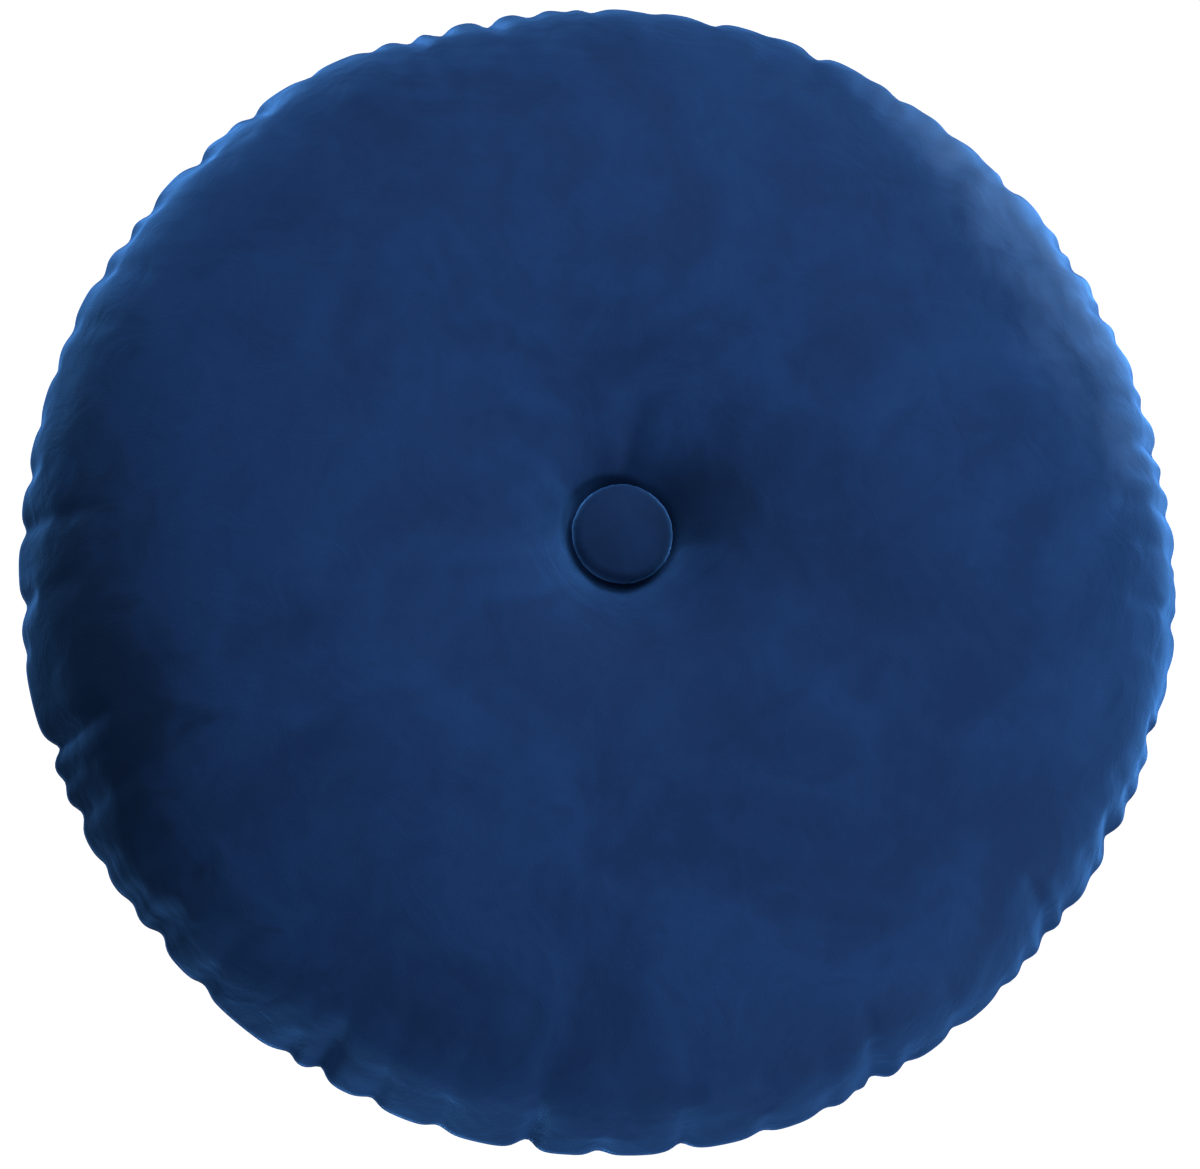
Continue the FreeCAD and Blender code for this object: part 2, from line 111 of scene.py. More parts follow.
def makeCamera():
    towards, turn = cameraTurn()
    data = bpy.data.cameras.new("camera")
    camera = bpy.data.objects.new("camera", data)
    bpy.context.scene.collection.objects.link(camera)
    look = Vector((0, 0, seamHeight)) + turn @ Vector((view["sideways"], view["upwards"], 0))
    camera.location = look + towards * view["distance"]
    camera.rotation_mode = "QUATERNION"
    camera.rotation_quaternion = turn
    data.sensor_width = view["sensorWidth"]
    data.lens = data.sensor_width / 2 / math.tan(math.asin(view["reach"] / view["distance"]))
    bpy.context.scene.camera = camera


def makeLight(name, direction, power, size, receivers):
    turn = cameraTurn()[1]
    data = bpy.data.lights.new(name, "AREA")
    data.energy = power
    data.size = size
    light = bpy.data.objects.new(name, data)
    bpy.context.scene.collection.objects.link(light)
    offset = turn @ Vector(direction).normalized() * studio["lightDistance"]
    light.location = Vector((0, 0, seamHeight)) + offset
    light.rotation_mode = "QUATERNION"
    light.rotation_quaternion = (-offset).to_track_quat("-Z", "Y")
    light.light_linking.receiver_collection = receivers


def makeStudio(receivers):
    scene = bpy.context.scene
    scene.view_settings.view_transform = "Standard"
    scene.world = bpy.data.worlds.new("room")
    scene.world.use_nodes = True
    background = scene.world.node_tree.nodes["Background"]
    background.inputs["Color"].default_value = (1, 1, 1, 1)
    background.inputs["Strength"].default_value = studio["roomLight"]
    for name, (direction, power, size) in studio["lamps"].items():
        makeLight(name, direction, power, size, receivers)
    shape = bmesh.new()
    bmesh.ops.create_grid(shape, x_segments=2, y_segments=2, size=studio["floorSize"] / 2)
    floor = newPiece("floor", shape)
    surface = Finish("floorPaper")
    surface.set("Base Color", studio["floorColour"])
    surface.set("Roughness", 0.9)
    surface.set("Emission Color", (1, 1, 1, 1))
    surface.set("Emission Strength", studio["floorGlow"])
    floor.data.materials.append(surface.material)
    floor.visible_diffuse = False
    floor.visible_glossy = False


# small helpers for meshes and materials
def newPiece(name, shape):
    mesh = bpy.data.meshes.new(name)
    shape.to_mesh(mesh)
    shape.free()
    piece = bpy.data.objects.new(name, mesh)
    bpy.context.scene.collection.objects.link(piece)
    mesh.polygons.foreach_set("use_smooth", [True] * len(mesh.polygons))
    return piece


def readPlaces(mesh):
    places = np.empty(len(mesh.vertices) * 3)
    mesh.vertices.foreach_get("co", places)
    return places.reshape(-1, 3)


def writePlaces(mesh, places):
    mesh.vertices.foreach_set("co", np.ascontiguousarray(places).ravel())
    mesh.update()


def noiseAround(angles, waves, seed):
    # smooth noise from -1 to 1 that meets itself after a full turn
    points = [Vector((math.cos(a) * waves + seed, math.sin(a) * waves, seed)) for a in angles]
    return np.array([noise.noise(point) for point in points])


def noiseAt(places, perMetre, seed):
    shift = Vector((seed, seed, seed))
    return np.array([noise.noise(Vector(place) * perMetre + shift) for place in places])


def smoothStep(value, low, high):
    share = np.clip((value - low) / (high - low), 0, 1)
    return share * share * (3 - 2 * share)


def addCircle(shape, segments, radius, height=0.0):
    # one ring of vertices, with the edges that join them
    made = bmesh.ops.create_circle(shape, cap_ends=False, segments=segments, radius=radius)["verts"]
    bmesh.ops.translate(shape, verts=made, vec=(0, 0, height))
    return made, list({edge for vertex in made for edge in vertex.link_edges})


def pointsOf(geometry):
    return [part for part in geometry if isinstance(part, bmesh.types.BMVert)]


def edgesOf(geometry):
    return [part for part in geometry if isinstance(part, bmesh.types.BMEdge)]


def pullIn(vertex, share):
    # nearer to the axis by this share of its distance
    vertex.co.x *= share
    vertex.co.y *= share


def turnAway(angle, middle):
    # how far one direction is from another, from minus half a turn to half a turn
    return (angle - middle + math.pi) % fullTurn - math.pi


def spinSection(section, segments):
    # a closed ring with this section of radius and height
    shape = bmesh.new()
    last, height = section[0]
    addCircle(shape, segments, last, height)
    loop = shape.edges[:]
    for out, up in section[1:] + section[:1]:
        made = bmesh.ops.extrude_edge_only(shape, edges=loop)["geom"]
        loop = edgesOf(made)
        for vertex in pointsOf(made):
            pullIn(vertex, out / last)
            vertex.co.z = up
        last = out
    bmesh.ops.remove_doubles(shape, verts=shape.verts, dist=touching)
    bmesh.ops.recalc_face_normals(shape, faces=shape.faces[:])
    return shape


class Wire:
    # a number coming out of a node, which ordinary sums can be written with

    def __init__(self, finish, socket):
        self.finish = finish
        self.socket = socket

    def math(self, operation, *others):
        return self.finish.node("ShaderNodeMath", {"operation": operation}, [self, *others])

    def __add__(self, other):
        return self.math("ADD", other)

    def __mul__(self, other):
        return self.math("MULTIPLY", other)

    def __sub__(self, other):
        return self.math("SUBTRACT", other)

    def __rsub__(self, other):
        return self.finish.node("ShaderNodeMath", {"operation": "SUBTRACT"}, [other, self])

    __radd__ = __add__
    __rmul__ = __mul__


class Finish:
    # one procedural material built round its Principled shader

    def __init__(self, name):
        self.material = bpy.data.materials.new(name)
        self.material.use_nodes = True
        self.tree = self.material.node_tree
        self.shader = self.tree.nodes["Principled BSDF"]
        self.place = self.node("ShaderNodeTexCoord", {}, {}, "Object")

    def node(self, kind, settings, values, output=0):
        made = self.tree.nodes.new(kind)
        for name, setting in settings.items():
            setattr(made, name, setting)
        pairs = values.items() if isinstance(values, dict) else enumerate(values)
        for key, value in pairs:
            self.feed(made.inputs[key], value)
        return Wire(self, made.outputs[output])

    def feed(self, socket, value):
        if isinstance(value, Wire):
            self.tree.links.new(value.socket, socket)
        else:
            socket.default_value = value

    def set(self, name, value):
        self.feed(self.shader.inputs[name], value)

    def noise(self, scale, detail=2.0, distortion=0.0, place=None):
        values = {"Vector": place or self.place, "Scale": scale, "Detail": detail, "Distortion": distortion}
        return self.node("ShaderNodeTexNoise", {}, values, "Fac")

    def stretch(self, scale, rotation=(0, 0, 0)):
        values = {"Vector": self.place, "Scale": scale, "Rotation": rotation}
        return self.node("ShaderNodeMapping", {}, values)

    def towards(self, degrees):
        # how far the surface lies out in one direction from the axis, metres
        angle = math.radians(degrees)
        values = {0: self.place, 1: (math.cos(angle), math.sin(angle), 0)}
        return self.node("ShaderNodeVectorMath", {"operation": "DOT_PRODUCT"}, values, "Value")

    def distance(self, point):
        values = {0: self.place, 1: point}
        return self.node("ShaderNodeVectorMath", {"operation": "DISTANCE"}, values, "Value")

    def band(self, value, low, high):
        # 0 below low, 1 above high, smooth between
        values = {"Value": value, "From Min": low, "From Max": high}
        return self.node("ShaderNodeMapRange", {"interpolation_type": "SMOOTHSTEP"}, values)

    def blend(self, share, first, second):
        settings = {"data_type": "RGBA"}
        return self.node("ShaderNodeMix", settings, {0: share, 6: first, 7: second}, 2)

    def bump(self, height, distance, strength=1.0, under=None):
        values = {"Height": height, "Distance": distance, "Strength": strength}
        if under is not None:
            values["Normal"] = under
        return self.node("ShaderNodeBump", {}, values)


# materials
velvetLook = {
    "deep": (0.0012, 0.0066, 0.0270, 1),
    "middle": (0.0018, 0.0088, 0.0345, 1),
    "light": (0.0026, 0.0116, 0.0430, 1),
    # a near-black painted shade colour, used for the painted shade and shadows below
    "paintedShadeColour": (0.0000, 0.0010, 0.0040, 1),
    # a lighter painted highlight colour
    "paintedHighlightColour": (0.0280, 0.0600, 0.1300, 1),
    "paintedShadeAngle": 219,       # where painted shade darkens the rim, on the side away from the lamps, degrees from +X
    "paintedShadeZone": (0.165, 0.212),     # from where it starts to where it is full, metres from the axis
    "paintedShadeShare": 0.75,
    "paintedHighlightAngle": 60,        # where a painted highlight lightens the rim, on the side towards the lamps
    "paintedHighlightZone": (0.170, 0.240),
    "paintedHighlightShare": 0.9,
    "paintedShadowPlace": (0.020, 0.023, 0.135),   # middle of a painted shadow beside the button
    "paintedShadowZone": (0.008, 0.030),
    "paintedShadowShare": 0.48,
    "brushedPatch": 11.0,     # patches per metre
    "crushedPatch": 48.0,
    "pile": 1500.0,
    "roughness": 0.74,
    "specular": 0.03,
    "sheen": 0.57,
    "sheenRoughness": 0.39,
    "sheenTint": (0.10, 0.37, 1.00, 1),
}


def makeVelvet(name, seed, paintedShadeAmount):
    look = velvetLook
    finish = Finish(name)
    away = {"Vector": finish.place, "Location": (seed, seed * 0.7, 0)}
    moved = finish.node("ShaderNodeMapping", {}, away)
    brushed = finish.noise(look["brushedPatch"], 3.0, 1.4, moved)
    crushed = finish.noise(look["crushedPatch"], 4.0, 1.1, moved)
    streaks = finish.noise(1.0, 3.0, 0.6, finish.stretch((160, 90, 160), (0.2, 0.3, 0.6)))
    pile = finish.noise(look["pile"], 2.0)
    nap = finish.band(brushed * 0.62 + crushed * 0.26 + streaks * 0.12, 0.36, 0.64)
    marks = finish.band(crushed, 0.58, 0.70)
    colour = finish.blend(nap, look["deep"], look["light"])
    colour = finish.blend(marks * 0.35, colour, look["deep"])
    colour = finish.blend(finish.band(pile, 0.30, 0.72) * 0.30, colour, look["middle"])
    ragged = (brushed - 0.5) * 0.10 + (crushed - 0.5) * 0.05     # the edges of the zones wander
    # painted shade: the rim on the side away from the lamps is darkened towards the near-black colour
    paintedShadeMask = finish.band(finish.towards(look["paintedShadeAngle"]) + ragged, *look["paintedShadeZone"])
    # painted highlight: the rim on the side towards the lamps is lightened
    paintedHighlightMask = finish.band(finish.towards(look["paintedHighlightAngle"]) + ragged * 0.45, *look["paintedHighlightZone"])
    # painted shadow: a dark patch in the dimple beside the button
    paintedShadowMask = 1 - finish.band(finish.distance(look["paintedShadowPlace"]) + ragged * 0.1, *look["paintedShadowZone"])
    colour = finish.blend(paintedShadowMask * look["paintedShadowShare"], colour, look["paintedShadeColour"])
    colour = finish.blend(paintedShadeMask * look["paintedShadeShare"], colour, look["paintedShadeColour"])
    colour = finish.blend(paintedHighlightMask * look["paintedHighlightShare"], colour, look["paintedHighlightColour"])
    # painted shade: the base colour is also blended towards the near-black colour by the last argument's
    # share, and the sheen below is cut by half that share
    finish.set("Base Color", finish.blend(paintedShadeAmount, colour, look["paintedShadeColour"]))
    finish.set("Roughness", look["roughness"] + nap * 0.14 - marks * 0.06)
    finish.set("Specular IOR Level", look["specular"])
    finish.set("Sheen Weight", look["sheen"] * (1 - paintedShadeAmount * 0.5))
    finish.set("Sheen Roughness", look["sheenRoughness"])
    finish.set("Sheen Tint", look["sheenTint"])
    ruffle = finish.bump(crushed * 0.35 + brushed, 0.0060, 0.32)
    finish.set("Normal", finish.bump(pile, 0.0004, 0.35, ruffle))
    return finish.material


def makeThread():
    finish = Finish("sewingThread")
    values = {"Vector": finish.place, "Scale": 900.0, "Distortion": 1.5}
    twist = finish.node("ShaderNodeTexWave", {"bands_direction": "DIAGONAL"}, values, "Fac")
    fuzz = finish.noise(2600.0, 2.0)
    finish.set("Base Color", finish.blend(twist, (0.008, 0.020, 0.065, 1), (0.020, 0.045, 0.120, 1)))
    finish.set("Roughness", 0.62 + fuzz * 0.25)
    finish.set("Normal", finish.bump(twist + fuzz * 0.4, 0.0002, 0.6))
    return finish.material


def makeWadding():
    finish = Finish("fibreWadding")
    clumps = finish.noise(45.0, 5.0, 1.8)
    fibres = finish.noise(1.0, 5.0, 2.5, finish.stretch((900, 260, 520), (0.4, 0.9, 0.2)))
    finish.set("Base Color", finish.blend(clumps, (0.70, 0.70, 0.68, 1), (0.90, 0.90, 0.88, 1)))
    finish.set("Roughness", 0.85 + fibres * 0.1)
    finish.set("Normal", finish.bump(fibres * 0.6 + clumps, 0.0030, 0.8))
    return finish.material


def makeFoam():
    finish = Finish("openCellFoam")
    values = {"Vector": finish.place, "Scale": 620.0, "Smoothness": 0.6}
    cells = finish.node("ShaderNodeTexVoronoi", {"feature": "SMOOTH_F1"}, values, "Distance")
    ageing = finish.noise(9.0, 3.0, 0.8)
    yellow = finish.blend(ageing, (0.80, 0.72, 0.50, 1), (0.88, 0.83, 0.66, 1))
    # the low pits between the cells are painted darker, as painted shade in the pores
    finish.set("Base Color", finish.blend(finish.band(cells, 0.1, 0.6), yellow, (0.50, 0.43, 0.27, 1)))
    finish.set("Roughness", 0.9 - cells * 0.1)
    finish.set("Normal", finish.bump(1 - cells, 0.0008, 0.7))
    return finish.material


def makeMetal(name, dark, light, roughness, grainScale):
    finish = Finish(name)
    grain = finish.noise(1.0, 4.0, 0.3, finish.stretch(grainScale))
    tarnish = finish.noise(160.0, 4.0, 1.0)
    finish.set("Base Color", finish.blend(tarnish, dark, light))
    finish.set("Metallic", 1.0)
    finish.set("Roughness", roughness + grain * 0.16 + finish.band(tarnish, 0.5, 0.7) * 0.12)
    finish.set("Normal", finish.bump(grain, 0.00005, 0.4))
    return finish.material


def makeTwine():
    finish = Finish("waxedTwine")
    leaning = finish.stretch((1, 1, 1), (0.6, 0.0, 0.0))
    values = {"Vector": leaning, "Scale": 260.0, "Distortion": 0.8}
    lay = finish.node("ShaderNodeTexWave", {"bands_direction": "Z"}, values, "Fac")
    wax = finish.noise(700.0, 3.0)
    finish.set("Base Color", finish.blend(lay, (0.42, 0.34, 0.22, 1), (0.72, 0.64, 0.48, 1)))
    finish.set("Roughness", 0.35 + wax * 0.3)
    finish.set("Normal", finish.bump(lay + wax * 0.2, 0.0003, 0.7))
    return finish.material


# the velvet cover, stuffed by a cloth simulation
coverLook = {
    "segments": 440,
    "ringSteps": ((0.0025, 0.0013), (0.020, 0.0026), (0.062, 0.0036)),   # nearer the seam than, step
    "faceStep": 0.0052,
    "middleStep": 0.0038,
    "middleZone": 0.060,
    "fewerSegments": ((0.055, 4), (0.024, 8)),    # nearer the middle than, keeps one segment in
    "domeHeight": 0.082,
    "domeShape": (2.7, 0.56),
    "curveSteps": 6000,
    "seamSlope": 2.0,         # the two cloths meet in an edge at the seam
    "edgeSoftness": 0.0020,
    "dimpleWidth": 0.025,
    "dimpleShape": 0.92,
    "seatGap": 0.0024,        # cloth below the button's underside
    "seatSpread": 0.0004,
    "needleHole": 0.00345,
    "extraCloth": 0.033,      # share of the rim's length that is gathered
    "gatherZone": 0.060,
    "gatherChange": 1.1,      # how unevenly the spare cloth is spread round the rim
    "pressure": 2.0,
    "tension": 120.0,
    "compression": 60.0,
    "shear": 10.0,
    "bending": 0.25,
    "vertexMass": 0.3,
    "airDamping": 2.0,
    "quality": 5,
    "frames": 18,
    "mostMove": 0.012,
    "clothThickness": 0.0009,
}

# Puckers where the seam is drawn in. Angles go round the rim from +X, in degrees.
puckers = {
    "pitches": ((0, 0.013), (80, 0.015), (165, 0.021), (215, 0.026), (255, 0.031), (300, 0.027),
                (335, 0.018)),
    "depth": 0.0017,
    "width": 0.0030,
    "length": 0.028,
    "longerBehind": 0.9,      # puckers towards +Y run further in
    "afterShare": 0.62,       # part of each pucker that is drawn in after the stuffing
    "deepAngles": (229, 236, 250, 270, 291, 326, 349, 1),
    "deepDepth": 0.0036,
    "deepLength": 0.034,
    "seed": 11,
}


def meridian():
    # outline of one half from the axis to the seam: length along the cloth, radius and height
    look = coverLook
    seat = buttonLow[2] - look["seatGap"] - seamHeight
    radius = rimRadius * np.sin(np.linspace(0, math.pi / 2, look["curveSteps"]))
    power, root = look["domeShape"]
    dome = look["domeHeight"] * (1 - (radius / rimRadius) ** power).clip(0) ** root
    cone = (rimRadius - radius) * look["seamSlope"]
    soft = look["edgeSoftness"]
    nearSeam = np.exp(-cone / soft)
    dome = -np.log(np.exp(-dome / soft) + nearSeam) * soft      # the lower of the two, with a soft turn
    dome = np.maximum(dome + soft * math.log(2) * nearSeam, 0)
    seatRadius = buttonRadius + look["seatSpread"]
    dip = np.exp(-(np.maximum(radius - seatRadius, 0) / look["dimpleWidth"]) ** look["dimpleShape"])
    height = dome + (seat - dome) * dip
    length = np.concatenate([[0], np.cumsum(np.hypot(np.diff(radius), np.diff(height)))])
    return length, radius, height


def ringStations(total):
    # how far along the cloth each ring of vertices lies, closest together at the seam
    look = coverLook
    stations = [total]
    while stations[-1] > look["needleHole"] + 0.002:
        fromSeam = total - stations[-1]
        step = look["faceStep"] if stations[-1] > look["middleZone"] else look["middleStep"]
        for zone, zoneStep in look["ringSteps"][::-1]:
            if fromSeam < zone:
                step = zoneStep
        stations.append(max(stations[-1] - step, look["needleHole"]))
    return stations[::-1]


def clothCircles(total):
    # two flat cloth circles with one common edge, as a bmesh that marks which side each vertex is on
    shape = bmesh.new()
    turn = shape.verts.layers.int.new("turn")
    side = shape.verts.layers.int.new("side")
    rings = []
    for station in ringStations(total):
        made, ring = addCircle(shape, coverLook["segments"], station)
        for number, vertex in enumerate(made):
            vertex[turn] = number
            vertex[side] = 1
        rings.append(ring)
    for inner, outer in zip(rings, rings[1:]):
        bmesh.ops.bridge_loops(shape, edges=inner + outer)
    fineZone = coverLook["ringSteps"][-1][0]
    for reach, every in ((total - fineZone, 2),) + coverLook["fewerSegments"]:
        spare = []
        for edge in shape.edges:
            first, second = edge.verts
            radial = first[turn] == second[turn] and first[turn] % every == every // 2
            if radial and max(first.co.length, second.co.length) < reach:
                spare.append(edge)
        bmesh.ops.dissolve_edges(shape, edges=spare, use_verts=True, use_face_split=False)
    bmesh.ops.recalc_face_normals(shape, faces=shape.faces[:])
    whole = shape.verts[:] + shape.edges[:] + shape.faces[:]
    copied = bmesh.ops.duplicate(shape, geom=whole)["geom"]
    for vertex in pointsOf(copied):
        vertex[side] = -1
    faces = [part for part in copied if isinstance(part, bmesh.types.BMFace)]
    bmesh.ops.reverse_faces(shape, faces=faces)
    rim = [vertex for vertex in shape.verts if vertex.co.length > total - touching]
    for vertex in rim:
        vertex[side] = 0
    bmesh.ops.remove_doubles(shape, verts=rim, dist=touching)
    return shape


def puckerAngles():
    # angle, depth and length of every pucker round the rim
    dice = random.Random(puckers["seed"])
    corners = [math.radians(angle) for angle, _ in puckers["pitches"]] + [fullTurn]
    pitches = [pitch for _, pitch in puckers["pitches"]] + [puckers["pitches"][0][1]]
    found = []
    angle = 0.0
    while angle < fullTurn - 0.02:
        depth = puckers["depth"] * dice.uniform(0.35, 1.25)
        longer = 1 + puckers["longerBehind"] * max(0.0, math.sin(angle))
        found.append((angle, depth * longer**0.5, puckers["length"] * longer * dice.uniform(0.5, 1.4)))
        pitch = float(np.interp(angle, corners, pitches))
        angle += pitch / rimRadius * dice.uniform(0.55, 1.5)
    for angle in puckers["deepAngles"]:
        depth = puckers["deepDepth"] * dice.uniform(0.6, 1.1)
        found.append((math.radians(angle), depth, puckers["deepLength"] * dice.uniform(0.7, 1.2)))
    return found


def puckerDepth(angle, fromSeam):
    # how far the cloth is drawn in at each vertex
    drawn = np.zeros(len(angle))
    fromSeam = fromSeam.clip(0)
    for middle, depth, length in puckerAngles():
        away = turnAway(angle, middle)
        width = puckers["width"] * (1 + fromSeam / length * 0.7)
        fade = np.exp(-((fromSeam / length) ** 1.5))
        drawn = np.maximum(drawn, depth * fade * np.exp(-np.abs(away * rimRadius / width) ** 1.3))
    return drawn


def simulateCover(piece, start, rest, hold):
    # cloth of the rest shape, pressed out from the start shape; what is held stays in place
    look = coverLook
    piece.shape_key_add(name="stuffed")
    piece.shape_key_add(name="cut")
    keys = piece.data.shape_keys.key_blocks
    keys[0].data.foreach_set("co", start.ravel())
    keys[1].data.foreach_set("co", rest.ravel())
    group = piece.vertex_groups.new(name="underButton")
    group.add([int(index) for index in np.nonzero(hold)[0]], 1.0, "REPLACE")
    cloth = piece.modifiers.new("cloth", "CLOTH")
    settings = cloth.settings
    settings.quality = look["quality"]
    settings.mass = look["vertexMass"]
    settings.tension_stiffness = look["tension"]
    settings.compression_stiffness = look["compression"]
    settings.shear_stiffness = look["shear"]
    settings.bending_stiffness = look["bending"]
    settings.air_damping = look["airDamping"]
    settings.rest_shape_key = keys[1]
    settings.use_pressure = True
    settings.uniform_pressure_force = look["pressure"]
    settings.vertex_group_mass = "underButton"
    settings.effector_weights.gravity = 0
    cloth.collision_settings.use_collision = False
    cloth.point_cache.frame_start = 1
    cloth.point_cache.frame_end = look["frames"]
    for number in range(1, look["frames"] + 1):
        bpy.context.scene.frame_set(number)
    seen = piece.evaluated_get(bpy.context.evaluated_depsgraph_get())
    places = readPlaces(bpy.data.meshes.new_from_object(seen))
    bpy.context.scene.frame_set(1)
    move = places - start
    far = np.linalg.norm(move, axis=1)[:, None]
    return start + move * np.minimum(1, look["mostMove"] / np.maximum(far, 1e-9))


outline = {
    "shift": 0.0020,          # the stuffing sits a little to one side of the button
    "shiftAngle": 270,
    "longer": 0.011,          # share by which the rim is longer along this angle
    "longAngle": 90,
    "wobble": 0.0016,
    "ripple": 0.0011,         # soft unevenness of the faces
    "seamGroove": 0.0009,
    "grooveWidth": 0.0016,
    "flatSoftness": 0.0015,
}

seamAllowance = {"steps": (0.0010, 0.0030, 0.0080), "gap": 0.00015}

buttonCreases = {             # angle from +X, depth, length
    "lines": ((114, 0.0030, 0.034), (172, 0.0008, 0.050), (245, 0.0006, 0.030), (300, 0.0006, 0.034),
              (20, 0.0008, 0.030), (65, 0.0009, 0.026)),
    "width": 0.0030,
    "startsOut": 0.0012,      # clear of the button's edge
    "fullAfter": 0.004,
    "lowerTurn": 40,          # degrees the lower face's creases are turned on
}


def unevenPlaces(places):
    # heights here are measured from the seam. The rim isn't a true circle and the faces aren't quite even
    angle = np.arctan2(places[:, 1], places[:, 0])
    radius = np.hypot(places[:, 0], places[:, 1])
    rimShare = smoothStep(radius, 0.040, rimRadius)
    table = np.linspace(-math.pi, math.pi, 721)
    grow = outline["wobble"] * (noiseAround(table, 1.1, 4.2) * 1.3 + noiseAround(table, 3.4, 8.6) * 0.8)
    grow += outline["longer"] * rimRadius * np.cos(2 * (table - math.radians(outline["longAngle"]))) / 2
    grow += outline["shift"] * np.cos(table - math.radians(outline["shiftAngle"]))
    radius = radius + np.interp(angle, table, grow) * rimShare
    openly = smoothStep(radius, 0.024, 0.060) * smoothStep(np.abs(places[:, 2]), 0, 0.02)
    uneven = noiseAt(places, 13.0, 3.1) * 1.6 + noiseAt(places, 31.0, 7.7) * 0.7
    lifted = outline["ripple"] * uneven * openly
    return np.stack([np.cos(angle) * radius, np.sin(angle) * radius, places[:, 2] + lifted], axis=1)


def creaseAtButton(places, side):
    # small folds that run into the button, where the cloth is drawn down
    angle = np.arctan2(places[:, 1], places[:, 0])
    radius = np.hypot(places[:, 0], places[:, 1])
    height = places[:, 2].copy()
    out = radius - (buttonRadius + buttonCreases["startsOut"])
    for degrees, depth, length in buttonCreases["lines"]:
        for half in (1, -1):
            middle = math.radians(degrees * half + (0 if half > 0 else buttonCreases["lowerTurn"]))
            away = turnAway(angle, middle)
            width = buttonCreases["width"] * (1 + 0.8 * out.clip(0) / length)
            across = np.abs(away) * radius / width
            along = (out / buttonCreases["fullAfter"]).clip(0, 1)
            along = along * np.exp(-((out.clip(0) / length) ** 2) * 2.2)
            groove = depth * (np.exp(-across**1.5) - 0.35 * np.exp(-((across - 2.2) ** 2)))
            height -= np.where(side == half, half * groove * along, 0)
    return np.stack([places[:, 0], places[:, 1], height], axis=1)


def restOnFloor(places):
    soft = outline["flatSoftness"]
    places = places + np.array([0, 0, seamHeight])
    places[:, 2] = soft * np.logaddexp(0, places[:, 2] / soft)   # never below the floor
    return places


def splitSide(whole, name, wanted, material):
    # one cloth of the stuffed cover, with its thickness
    shape = bmesh.new()
    shape.from_mesh(whole.data)
    side = shape.verts.layers.int["side"]
    other = [face for face in shape.faces if any(vertex[side] == -wanted for vertex in face.verts)]
    bmesh.ops.delete(shape, geom=other, context="FACES")
    # the seam allowance turns back inside, along the other cloth's
    edges = [edge for edge in shape.edges if edge.is_boundary]
    fold = [edge for edge in edges if all(vertex[side] == 0 for vertex in edge.verts)]
    for step in seamAllowance["steps"]:
        made = bmesh.ops.extrude_edge_only(shape, edges=fold)["geom"]
        for vertex in pointsOf(made):
            pullIn(vertex, 1 - step / math.hypot(vertex.co.x, vertex.co.y))
            vertex.co.z = seamHeight + wanted * seamAllowance["gap"]
        fold = edgesOf(made)
    piece = newPiece(name, shape)
    piece.data.materials.append(material)
    wall = piece.modifiers.new("thickness", "SOLIDIFY")
    wall.thickness = coverLook["clothThickness"]
    wall.offset = -1
    smooth = piece.modifiers.new("smooth", "SUBSURF")
    smooth.levels = smooth.render_levels = 1
    return piece


def atAngle(angle, out, up):
    # places from their direction, radius and height
    return np.stack([np.cos(angle) * out, np.sin(angle) * out, up], axis=1)


def cutShape(angle, along, upper, curve):
    # the stuffed cloth with its gathers let out, which is the size it was cut to
    length, radius = curve[:2]
    look = coverLook
    fromZone = np.clip(1 - (length[-1] - length) / look["gatherZone"], 0, 1)
    spare = look["extraCloth"] * fromZone**1.6
    change = noiseAround(angle, 1.3, 2.9) + 0.8 * noiseAround(angle, 3.7, 6.1)
    uneven = 0.75 + look["gatherChange"] * change
    fall = np.sqrt(np.maximum(np.diff(length) ** 2 - np.diff(radius * (1 + spare)) ** 2, 0))
    drop = np.concatenate([[0], np.cumsum(fall)])
    out = np.interp(along, length, radius) * (1 + np.interp(along, length, spare) * uneven.clip(0.15))
    return atAngle(angle, out, (drop[-1] - np.interp(along, length, drop)) * upper)


def drawSeamIn(places, side, drawn, fromSeam):
    # the rim back to its size, then the seam's groove and the rest of each pucker
    far = np.hypot(places[:, 0], places[:, 1])
    seamRadius = float(far[side == 0].mean())
    print("seam radius after stuffing:", round(seamRadius, 4), "and made", rimRadius)
    out = 1 + (rimRadius / seamRadius - 1) * smoothStep(far, 0.04, 0.2)
    groove = outline["seamGroove"] * np.exp(-(fromSeam / outline["grooveWidth"]) ** 2)
    out -= (drawn * puckers["afterShare"] + groove) / rimRadius
    return places * np.stack([out, out, np.ones(len(out))], axis=1)


def makeCover(material):
    curve = meridian()
    length, radius, height = curve
    total = length[-1]
    whole = newPiece("stuffedCover", clothCircles(total))
    flat = readPlaces(whole.data)
    side = np.empty(len(flat), dtype=np.int32)
    whole.data.attributes["side"].data.foreach_get("value", side)
    along = np.hypot(flat[:, 0], flat[:, 1])
    angle = np.arctan2(flat[:, 1], flat[:, 0])
    upper = np.where(side < 0, -1, 1)
    # stuffed shape before the simulation, already drawn in at the puckers
    drawn = puckerDepth(angle, total - along)
    out = np.interp(along, length, radius) - drawn
    start = atAngle(angle, out, np.interp(along, length, height) * upper)
    places = start
    rest = cutShape(angle, along, upper, curve)
    places = simulateCover(whole, start, rest, along < buttonRadius + 0.002)
    print("stuffed cover:", len(flat), "vertices, height", round(float(places[:, 2].max()), 4))
    places = drawSeamIn(places, side, drawn, total - along)
    places = restOnFloor(creaseAtButton(unevenPlaces(places), side))
    whole.shape_key_clear()
    whole.modifiers.clear()
    writePlaces(whole.data, places)
    pieces = [splitSide(whole, "topVelvet", 1, material), splitSide(whole, "bottomVelvet", -1, material)]
    bpy.data.objects.remove(whole)
    for piece, node in zip(pieces, ("top_panel", "bottom_panel")):
        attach(piece, "cushion")
        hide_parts(node)
    return places[side == 0]


